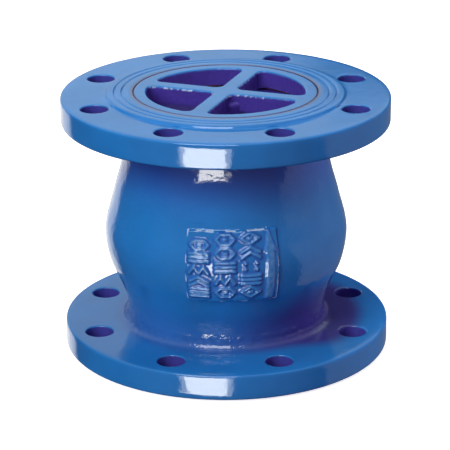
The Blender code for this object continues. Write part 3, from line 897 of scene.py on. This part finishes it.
# The paint's own colour; the colours of painted shade (in recesses, beside the marks and on the
# neck, on the foot); of painted highlights (on crests, glints); of worn edges that are also a
# painted highlight; and of the dark seam.
PAINT = (0.018, 0.195, 0.530)
PAINT_RECESS_SHADE = (0.056, 0.032, 0.260)
PAINT_SHADE = (0.030, 0.076, 0.410)
PAINT_FOOT_SHADE = (0.046, 0.030, 0.215)
PAINT_CREST_HIGHLIGHT = (0.160, 0.340, 0.640)
PAINT_GLINT = (0.750, 0.860, 0.940)
PAINT_WEAR_AND_SHEEN = (0.10, 0.26, 0.60)
JOINT_BROWN = (0.080, 0.060, 0.135)
RING_WAVER = 0.6


def paint_material(name, colour, roughness, peel):
    """Thick glossy epoxy over cast iron: cloudy tone, orange peel, lighter on sharp edges where it
    is worn thin and as a painted highlight, and painted shade and highlights where the meshes'
    masks say.
    """
    shader = Shader(name, colour, 0.0, roughness, IOR=1.5)
    cloud = shader.remap(shader.noise(28.0, 3.0), 0.35, 0.65)
    specks = shader.remap(shader.noise(900.0), 0.66, 0.74)
    # Lighter on sharp edges: paint worn thin there, and partly a painted highlight.
    wear_and_sheen = shader.product(shader.pointiness(0.53, 0.62),
                            shader.remap(shader.noise(160.0, 3.0), 0.45, 0.7), 0.35)
    # Painted highlight on the marks' crests.
    crest_highlight = shader.product(shader.attribute("crest"),
                          shader.remap(shader.noise(420.0), 0.35, 0.75, 0.12, 0.75))
    tone = shader.mix(cloud, shaded(colour, 0.93), shaded(colour, 1.06))
    # Layers over the tone: dark specks; sharp edges lighter, partly worn and partly a painted
    # highlight; a painted highlight on the crests; painted shade beside the marks, on the neck, on
    # the foot and in recesses; painted glints; the dark seam.
    for share, layer in ((shader.product(specks, 0.25), shaded(colour, 0.7)),
                         (wear_and_sheen, PAINT_WEAR_AND_SHEEN), (crest_highlight, PAINT_CREST_HIGHLIGHT),
                         (shader.attribute("gap_shade", 0.7), PAINT_SHADE),
                         (shader.attribute("neck"), PAINT_SHADE),
                         (shader.attribute("foot"), PAINT_FOOT_SHADE),
                         (shader.attribute("recess"), PAINT_RECESS_SHADE),
                         (shader.attribute("glint", 0.9), PAINT_GLINT),
                         (shader.attribute("joint"), JOINT_BROWN)):
        tone = shader.mix(share, tone, layer)
    shader.set("Base Color", tone)
    gloss = shader.remap(shader.noise(60.0, 3.0), 0.3, 0.7, roughness - 0.03, roughness + 0.05)
    shader.set("Roughness", shader.maths("ADD", gloss, shader.attribute("recess", 0.35)))
    rough = shader.remap(shader.attribute("cast"), 0.0, 5.0, 1.0, 12.0)
    wave = shader.bump(shader.product(shader.noise(190.0), rough), 1.0, peel * 0.001)
    grit = shader.product(shader.noise(520.0), rough)
    shader.set("Normal", shader.bump(grit, 1.0, peel * 0.0002, wave))
    return shader.material


def metal_material(name, colour, roughness, ring_scale, tarnish):
    """Turned metal: fine rings about Z, cloudy roughness and a darker film in patches."""
    shader = Shader(name, colour, 1.0, roughness)
    film = shader.remap(shader.noise(45.0, 4.0), 0.45, 0.7)
    shader.set("Base Color", shader.mix(film, colour, tarnish))
    wave = shader.add("TexWave")
    wave.wave_type = "RINGS"
    wave.rings_direction = "Z"
    rings = shader.fed(wave, "Fac", shader.place, ring_scale, RING_WAVER)
    shader.set("Roughness", shader.remap(shader.noise(220.0, 3.0), 0.3, 0.7, roughness - 0.06,
                                         roughness + 0.10))
    turned_rings = shader.bump(rings, 0.25, 0.0001)
    shader.set("Normal", shader.bump(shader.noise(900.0), 0.08, 0.0001, turned_rings))
    return shader.material


def rubber_material(name, colour):
    """Dull rubber or fibre: a pale bloom in patches over a fine grain."""
    shader = Shader(name, colour, 0.0, 0.6)
    bloom = shader.remap(shader.noise(70.0, 4.0), 0.5, 0.75)
    shader.set("Base Color", shader.mix(bloom, colour, shaded(colour, 2.2)))
    shader.set("Roughness", shader.remap(shader.noise(300.0, 3.0), 0.3, 0.7, 0.5, 0.75))
    shader.set("Normal", shader.bump(shader.noise(1400.0), 0.2, 0.0001))
    return shader.material


# One material for each of the CAD's material slots.
MATERIALS = {
    "blue_coating": paint_material("body_paint", PAINT, 0.06, 0.08),
    "frame_coating": paint_material("frame_paint", PAINT, 0.10, 0.12),
    "disc_coating": paint_material("disc_paint", shaded(PAINT, 0.85), 0.22, 0.15),
    "bronze": metal_material("seat_bronze", (0.55, 0.33, 0.13), 0.30, 260.0, (0.30, 0.17, 0.07)),
    "stainless_steel": metal_material("stainless_steel", (0.60, 0.60, 0.58), 0.26, 300.0,
                                      (0.44, 0.43, 0.41)),
    "fastener_steel": metal_material("fastener_steel", (0.45, 0.45, 0.45), 0.34, 500.0,
                                     (0.30, 0.29, 0.28)),
    "spring_steel": metal_material("spring_steel", (0.58, 0.58, 0.57), 0.22, 400.0,
                                   (0.46, 0.45, 0.44)),
    "rubber": rubber_material("seal_rubber", (0.020, 0.020, 0.022)),
    "fibre_gasket": rubber_material("gasket_fibre", (0.16, 0.05, 0.03)),
}


def place(item, slot, body, node, sharp=40.0):
    """Finishes a piece: edges turning more than sharp degrees stay sharp, and the piece gets its
    material and slot, moves with its body and stands for a CAD node."""
    item.data.shade_smooth()
    item.data.set_sharp_from_angle(angle=math.radians(sharp))
    item.data.materials.clear()
    item.data.materials.append(MATERIALS[slot])
    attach(item, body)
    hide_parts(node)


# ==== inner pieces ====

def turned(name, corners, columns=TURNED_COLUMNS):
    return lathe(name, refined(rounded(corners, 18.0), lambda r, z: 5.0), columns)


def turned_ring(name, node, inner, outer, fillet, columns=TURNED_COLUMNS):
    """A plain ring as high as the CAD node it stands for."""
    bottom, top = extent(node)
    corners = ((outer, top), (outer, bottom), (inner, bottom), (inner, top))
    return turned(name, [(*corner, fillet) for corner in corners], columns)


SEAT_BORE_R = 47.0
SEAT_NOSE_R = 49.4
SEAT_LIP_R = 49.8
SEAT_THREAD_R = 53.6
THREAD_BOTTOM = 31.0
O_RING_GROOVE_R = 50.6
O_RING_GROOVE_BOTTOM = 28.3
O_RING_MEAN_R, O_RING_Z, O_RING_WIRE_R = 52.05, 29.55, 1.15
SPIDER_BOTTOM, SPIDER_TOP = 29.5, 39.5
SPIDER_LENGTH, SPIDER_WIDTH, SPIDER_MIDDLE_R = 39.6, 7.0, 30.3
SPIDER_ROUND = 1.2
HUB_R, HUB_TOP = 12.5, 41.0


def spider_arm(turn):
    """A square bar, stretched to its size, with its edges rounded."""
    arm = prism("arm", 4, 1.0, SPIDER_BOTTOM, SPIDER_TOP)
    middle = (SPIDER_BOTTOM + SPIDER_TOP) / 2.0
    side = math.sqrt(2.0)
    stretch = Matrix.Diagonal((SPIDER_LENGTH / side, SPIDER_WIDTH / side, 1.0, 1.0))
    arm.data.transform(stretch @ spun(45.0) @ moved(0.0, 0.0, -middle))
    with editing(arm.data) as shape:
        round_edges(shape, SPIDER_ROUND, 4)
    arm.data.transform(spun(turn) @ moved(SPIDER_MIDDLE_R, 0.0, middle))
    return arm


def build_seat_ring():
    """The screwed-in seat with its O-ring groove, and the spider that holds the lower hub."""
    top, bottom = SEAT_TOP, SEAT_BOTTOM
    lip = top - 3.0
    ring = turned("threaded_seat_ring", [
        (SEAT_LIP_R, top, 0.5), (SEAT_LIP_R, lip, 0.4), (SEAT_THREAD_R, lip, 0.5),
        (SEAT_THREAD_R, THREAD_BOTTOM, 0.3), (O_RING_GROOVE_R, THREAD_BOTTOM, 0.2),
        (O_RING_GROOVE_R, O_RING_GROOVE_BOTTOM, 0.3), (SEAT_NOSE_R, O_RING_GROOVE_BOTTOM, 0.5),
        (SEAT_BORE_R, 36.0, 2.0), (SEAT_BORE_R, lip, 0.5), (SEAT_BORE_R + 0.2, top, 0.5)])
    for i in range(4):
        combine(ring, spider_arm(90.0 * i), "UNION")
    hub = turned("hub", [(0.0, HUB_TOP, 0.0), (HUB_R, HUB_TOP, 1.5), (HUB_R, bottom, 1.5),
                         (0.0, bottom, 0.0)], MEDIUM_COLUMNS)
    combine(ring, hub, "UNION")
    over, under = HUB_TOP + 3.0, bottom - 3.0
    bore = turned("bore", [(0.0, over, 0.0), (BUSH_SOCKET_R, over, 0.0),
                           (BUSH_SOCKET_R, under, 0.0), (0.0, under, 0.0)],
                  MEDIUM_COLUMNS)
    combine(ring, bore)
    place(ring, "bronze", "housing", "seat_ring", 35.0)


def build_seals():
    o_ring = turned("seat_o_ring_round", [
        (O_RING_MEAN_R + O_RING_WIRE_R * math.cos(a), O_RING_Z + O_RING_WIRE_R * math.sin(a), 0.0)
        for a in np.radians(np.arange(90.0, -270.0, -30.0))])
    place(o_ring, "rubber", "housing", "seat_o_ring")
    seal = turned_ring("disc_seal_ring", "disc_seal", SEAL_BORE_R, SEAL_R, 0.5)
    place(seal, "rubber", "disc_assembly", "disc_seal")
    gasket = turned_ring("frame_gasket_ring", "frame_gasket", GASKET_BORE_R, GASKET_R, 0.3)
    place(gasket, "fibre_gasket", "housing", "frame_gasket")


def build_bushes():
    for node in ("lower_bush", "upper_bush"):
        sleeve = turned_ring(node + "_sleeve", node, BORE_R, BUSH_R, 0.4, SMALL_COLUMNS)
        place(sleeve, "bronze", "housing", node)


def build_disc():
    """The coated disc and the steel plate that holds its seal, both drilled for the screws."""
    top, bottom = DISC_TOP, DISC_BOTTOM
    seal_top = SEAL_TOP + CONTACT_GAP
    disc = turned("valve_disc", [
        (BORE_R, top, 0.4), (COLLAR_R, top, 0.8), (23.0, top - 1.5, 3.0), (49.5, 60.2, 3.0),
        (DISC_R, 59.4, 0.8), (DISC_R, seal_top, 0.4), (SPIGOT_R, seal_top, 0.3),
        (SPIGOT_R, bottom, 0.4), (BORE_R, bottom, 0.4)])
    cover = turned("retainer_plate", [(PLATE_R, PLATE_TOP, 0.3), (PLATE_R, PLATE_BOTTOM, 0.9),
                                      (BORE_R, PLATE_BOTTOM, 0.4), (BORE_R, PLATE_TOP, 0.3)])
    for item in (disc, cover):
        drills = [prism("drill", 32, SCREW_HOLE_R, PLATE_BOTTOM - 2.0, SCREW_TIP_Z + 1.0, spot)
                  for spot in circle_places(SCREW_CIRCLE_R, SCREW_COUNT)]
        combine(item, merged("drills", drills))
    place(disc, "disc_coating", "disc_assembly", "disc", 35.0)
    place(cover, "stainless_steel", "disc_assembly", "seal_retainer", 35.0)


def build_screws():
    seat = PLATE_BOTTOM - CONTACT_GAP
    head = seat - SCREW_HEAD_H
    for i, (x, y) in enumerate(circle_places(SCREW_CIRCLE_R, SCREW_COUNT)):
        screw = turned(f"socket_screw_{i + 1}", [
            (0.0, SCREW_TIP_Z, 0.0), (SCREW_R, SCREW_TIP_Z, 0.5), (SCREW_R, seat, 0.2),
            (SCREW_HEAD_R, seat, 0.3), (SCREW_HEAD_R, head, 0.5), (0.0, head, 0.0)],
            SMALL_COLUMNS)
        combine(screw, prism("key", 6, 2.3, head - 2.0, head + SCREW_KEY_DEPTH))
        screw.data.transform(moved(x, y, 0.0) @ spun(17.0 * i))
        place(screw, "fastener_steel", "disc_assembly", f"retainer_screw_{i + 1}", 35.0)


def build_stem():
    """The stem with its collar, and the split washer and nut under the plate."""
    bottom, top = extent("stem")
    collar = PLATE_BOTTOM - CONTACT_GAP
    under = collar - STEM_COLLAR_H
    stem = turned("guide_stem", [
        (0.0, top, 0.0), (STEM_R, top, 1.0), (STEM_R, collar, 0.3), (STEM_COLLAR_R, collar, 0.4),
        (STEM_COLLAR_R, under, 0.6), (STEM_R, under, 0.8), (STEM_R, bottom, 1.0),
        (0.0, bottom, 0.0)], MEDIUM_COLUMNS)
    place(stem, "stainless_steel", "disc_assembly", "stem")
    washer = turned_ring("split_washer", "lock_washer", BORE_R, WASHER_R, 0.2, MEDIUM_COLUMNS)
    low, high = extent("lock_washer")
    slit = prism("slit", 4, 1.0, low - 1.0, high + 1.0)
    slit.data.transform(spun(25.0) @ moved(10.4, 0.0, 0.0)
                        @ Matrix.Diagonal((8.6, 1.1, 1.0, 1.0)) @ spun(45.0))
    combine(washer, slit)
    place(washer, "fastener_steel", "disc_assembly", "lock_washer", 35.0)
    low, high = extent("stem_nut")
    nut = prism("hex_nut", 6, NUT_CORNER_R, low, high, soft=0.5)
    combine(nut, prism("bore", 48, BORE_R, low - 2.0, high + 2.0))
    place(nut, "fastener_steel", "disc_assembly", "stem_nut", 30.0)


def coil_height(turns):
    """The wire's centre: a close coil at each end, an even pitch between them."""
    close = 2.0 * SPRING_WIRE_R + CONTACT_GAP
    length = SPRING_LENGTH - 2.0 * SPRING_WIRE_R
    pitch = (length - 2.0 * close) / (SPRING_TURNS - 2.0)
    if turns < 1.0:
        return close * turns
    if turns > SPRING_TURNS - 1.0:
        return length - close * (SPRING_TURNS - turns)
    return close + pitch * (turns - 1.0)


def build_spring():
    """The coil's wire is swept as rings of points, and its ends are capped."""
    count = SPRING_TURNS * COIL_STEPS
    sides = range(COIL_SIDES)
    points = []
    for i in range(count + 1):
        turns = i / COIL_STEPS
        x, y = on_circle(1.0, 360.0 * turns)
        height = SPRING_BOTTOM + SPRING_WIRE_R + coil_height(turns)
        for k in sides:
            out, up = on_circle(SPRING_WIRE_R, 360.0 * k / COIL_SIDES)
            points.append(((SPRING_MEAN_R + out) * x * MM, (SPRING_MEAN_R + out) * y * MM,
                           (height + up) * MM))
    last = count * COIL_SIDES
    faces = [(i + k, i + beside, i + beside + COIL_SIDES, i + k + COIL_SIDES)
             for i in range(0, last, COIL_SIDES)
             for k, beside in zip(sides, [*sides[1:], 0])]
    faces += [tuple(reversed(sides)), tuple(last + k for k in sides)]
    mesh = bpy.data.meshes.new("closing_spring")
    mesh.from_pydata(points, [], faces)
    with editing(mesh) as shape:
        bmesh.ops.recalc_face_normals(shape, faces=shape.faces)
    spring = add_object("closing_spring", mesh)
    place(spring, "spring_steel", "housing", "spring", 50.0)
    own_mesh(spring)
    washer = turned_ring("spring_seat_washer", "spring_seat", SPRING_SEAT_BORE_R, SPRING_SEAT_R,
                         0.4, SPRING_SEAT_COLUMNS)
    place(washer, "stainless_steel", "spring_carrier", "spring_seat")


# ==== studio ====

# What the paint reflects: each panel's level, and the ramps that bound it. Azimuths are in degrees
# from the front, towards +X; x, y and z are the parts of the unit vector that points there; slant
# is an azimuth that leans over near the floor.
REFLECTED = {
    "backdrop": (1.0, ("y", 0.62, 0.74), ("x", 0.0, -0.3), ("z", 0.1, -0.1, 0.0, 1.4)),
    "right": (1.0, ("slant", 56.0, 59.0), ("azimuth", 70.0, 150.0, 0.60, 0.16),
              ("z", 0.3, 0.0, 0.1, 1.0), ("z", -0.74, -0.66)),
    "high": (8.5, ("azimuth", -40.0, -36.0), ("azimuth", 12.0, 8.0), ("z", 0.46, 0.52),
             ("z", 0.90, 0.80)),
    "overhead": (0.9, ("z", 0.80, 0.95)),
    "front glow": (1.0, ("y", -0.1, -0.7, 0.06, 0.24)),
    "upper glow": (1.0, ("z", 0.30, 0.60, 0.0, 0.55)),
}
SLANT_BELOW, SLANT = 0.1, 36.0
FILL_LEVEL = 0.15
FILL_COLOUR = (1.0, 0.60, 1.25)
WHITE = (1.0, 1.0, 1.0)


def world_light():
    """Glossy paint sees panels and a backdrop, the camera plain white, and all else a weak fill."""
    world = bpy.data.worlds.new("studio")
    bpy.context.scene.world = world
    world.use_nodes = True
    world.node_tree.nodes.clear()
    sky = Nodes(world.node_tree)

    def background(strength, colour=WHITE):
        return sky.fed(sky.add("Background"), "Background", colour, strength)

    x, y, z = sky.axes(sky.add("TexCoord").outputs["Generated"])
    azimuth = sky.maths("DEGREES", sky.maths("ARCTAN2", x, sky.product(y, -1.0)))
    below = sky.maths("MINIMUM", sky.maths("SUBTRACT", z, SLANT_BELOW), 0.0)
    slant = sky.maths("ADD", azimuth, sky.product(below, SLANT))
    ways = {"x": x, "y": y, "z": z, "azimuth": azimuth, "slant": slant}
    panels = [sky.product(*[sky.remap(ways[way], *bounds, kind="SMOOTHSTEP")
                            for way, *bounds in ramps], level)
              for level, *ramps in REFLECTED.values()]
    ray = sky.add("LightPath").outputs
    seen = sky.choose(ray["Is Glossy Ray"], background(FILL_LEVEL, FILL_COLOUR),
                      background(sky.highest(*panels)))
    seen = sky.choose(ray["Is Camera Ray"], seen, background(1.0))
    sky.link(seen, sky.add("OutputWorld").inputs["Surface"])


# Where the lamps stand, in metres, their width and height, and their power in watts.
MIDDLE = (0.0, 0.0, 0.09)
KEY_COLOUR = (0.88, 1.0, 0.97)
PANEL_COLOUR = (1.0, 1.0, 0.92)
LAMPS = (
    ("key", (-1.00, -1.50, 1.14), (0.8, 1.1), 33.0, KEY_COLOUR),
    ("right", (1.38, 0.65, 0.20), (0.5, 0.7), 16.0, WHITE),
    ("top", (0.10, 0.10, 1.60), (0.6, 0.6), 10.0, WHITE),
    ("back", (-0.60, 1.70, 0.50), (0.8, 0.8), 11.0, WHITE),
)
PANELS = (
    ("low_panel", (-0.35, -1.40, -0.42), (0.74, 0.52), 14.2),
    ("low_panel_edge", (-0.37, -1.42, -0.42), (0.96, 0.60), 8.4),
)
INNER_LIGHT_R = 38.0
INNER_LIGHT_Z = 112.0
INNER_LIGHT_SIZE = (0.02, 0.02)
INNER_LIGHT_POWER = 0.008


def area_light(name, position, size, power, colour=WHITE, target=MIDDLE):
    data = bpy.data.lights.new(name, "AREA")
    data.shape = "RECTANGLE"
    data.size, data.size_y = size
    data.energy = power
    data.color = colour
    lamp = add_object(name, data)
    lamp.location = position
    lamp.rotation_euler = (Vector(target) - Vector(position)).to_track_quat("-Z", "Y").to_euler()
    lamp.visible_glossy = False
    return lamp


def build_lamps():
    """Lamps that only light, four tiny ones in the chamber, and panels that only reflect."""
    for name, position, size, power, colour in LAMPS:
        area_light(name, position, size, power, colour)
    for i in range(4):
        x, y = on_circle(INNER_LIGHT_R, RIB_ANGLE + 45.0 + 90.0 * i)
        spot = (x * MM, y * MM, INNER_LIGHT_Z * MM)
        inner = area_light("inner", spot, INNER_LIGHT_SIZE, INNER_LIGHT_POWER,
                           target=(*spot[:2], 1.0))
        inner.visible_camera = False
    for name, position, size, power in PANELS:
        panel = area_light(name, position, size, power, PANEL_COLOUR,
                           target=(position[0], 0.0, position[2]))
        panel.visible_glossy = True
        panel.visible_diffuse = False


def see_from_above(shader):
    """Leaves the floor out of a view from below, so that the valve's inlet face shows."""
    seen = shader.choose(shader.add("NewGeometry").outputs["Backfacing"],
                         shader.main.outputs["BSDF"],
                         shader.add("BsdfTransparent").outputs["BSDF"])
    shader.link(seen, shader.tree.nodes["Material Output"].inputs["Surface"])


def stage_piece(name, mesh, shader):
    """A piece of the studio, which throws no shadow and no light on the valve."""
    mesh.materials.append(shader.material)
    item = add_object(name, mesh)
    item.visible_diffuse = False
    item.visible_shadow = False
    return item


def build_floor():
    mesh = bpy.data.meshes.new("floor")
    with editing(mesh) as shape:
        bmesh.ops.create_circle(shape, cap_ends=True, segments=64, radius=12.0)
    shader = Shader("pale_floor", (0.90, 0.90, 0.90), 0.0, 0.9, Emission_Strength=0.8,
                    Emission_Color=WHITE)
    see_from_above(shader)
    stage_piece("floor", mesh, shader).visible_glossy = False


# The card's bright part starts higher on the right, so the lower flange is dark on that side.
CARD_Y = 0.70
CARD_HALF_WIDTH = 0.90
CARD_BOTTOM, CARD_TOP = 0.10, 0.80
CARD_EDGE = (0.14, 0.24)
CARD_DARK, CARD_LEVEL = 0.04, 0.76
CARD_STEP = 0.19
CARD_STEP_X = (-0.06, 0.10)
CARD_COLOUR = (0.86, 1.0, 0.97)


def build_card():
    """The white card behind the valve, which only its glossy faces see."""
    mesh = bpy.data.meshes.new("backdrop_card")
    corners = ((-CARD_HALF_WIDTH, CARD_BOTTOM), (CARD_HALF_WIDTH, CARD_BOTTOM),
               (CARD_HALF_WIDTH, CARD_TOP), (-CARD_HALF_WIDTH, CARD_TOP))
    with editing(mesh) as shape:
        shape.faces.new([shape.verts.new((x, CARD_Y, z)) for x, z in corners])
    shader = Shader("card_white", (0.0, 0.0, 0.0), 0.0, 1.0, Emission_Color=CARD_COLOUR)
    x, _, z = shader.axes(shader.place)
    height = shader.maths("SUBTRACT", z, shader.remap(x, *CARD_STEP_X, 0.0, CARD_STEP))
    shader.set("Emission Strength", shader.remap(height, *CARD_EDGE, CARD_DARK, CARD_LEVEL))
    stage_piece("backdrop_card", mesh, shader).visible_camera = False


# Lengths in metres, angles in degrees; the azimuth is from the front, towards +X.
CAMERA_DISTANCE = 1.4898
CAMERA_ELEVATION = 19.83
CAMERA_AZIMUTH = 0.63
CAMERA_ROLL = -0.25
AIM_HEIGHT = 0.087
LENS_MM = 179.84
SENSOR_MM = 36.0
SHIFT = (-0.0024, -0.0194)


def build_camera():
    data = bpy.data.cameras.new("camera")
    data.lens = LENS_MM
    data.sensor_width = SENSOR_MM
    data.shift_x, data.shift_y = SHIFT
    data.clip_start, data.clip_end = 0.05, 50.0
    camera = add_object("camera", data)
    turn = spun(CAMERA_AZIMUTH) @ spun(90.0 - CAMERA_ELEVATION, "X")
    back = turn @ Vector((0.0, 0.0, CAMERA_DISTANCE))
    aim = Vector((0.0, 0.0, AIM_HEIGHT))
    camera.matrix_world = Matrix.Translation(aim + back) @ turn @ spun(CAMERA_ROLL)
    bpy.context.scene.camera = camera


def main():
    bpy.context.scene.view_settings.view_transform = "Standard"
    for build in (build_body, build_guide_frame, build_seat_ring, build_seals, build_bushes,
                  build_disc, build_screws, build_stem, build_spring):
        build()
    world_light()
    build_lamps()
    build_card()
    build_floor()
    build_camera()


main()
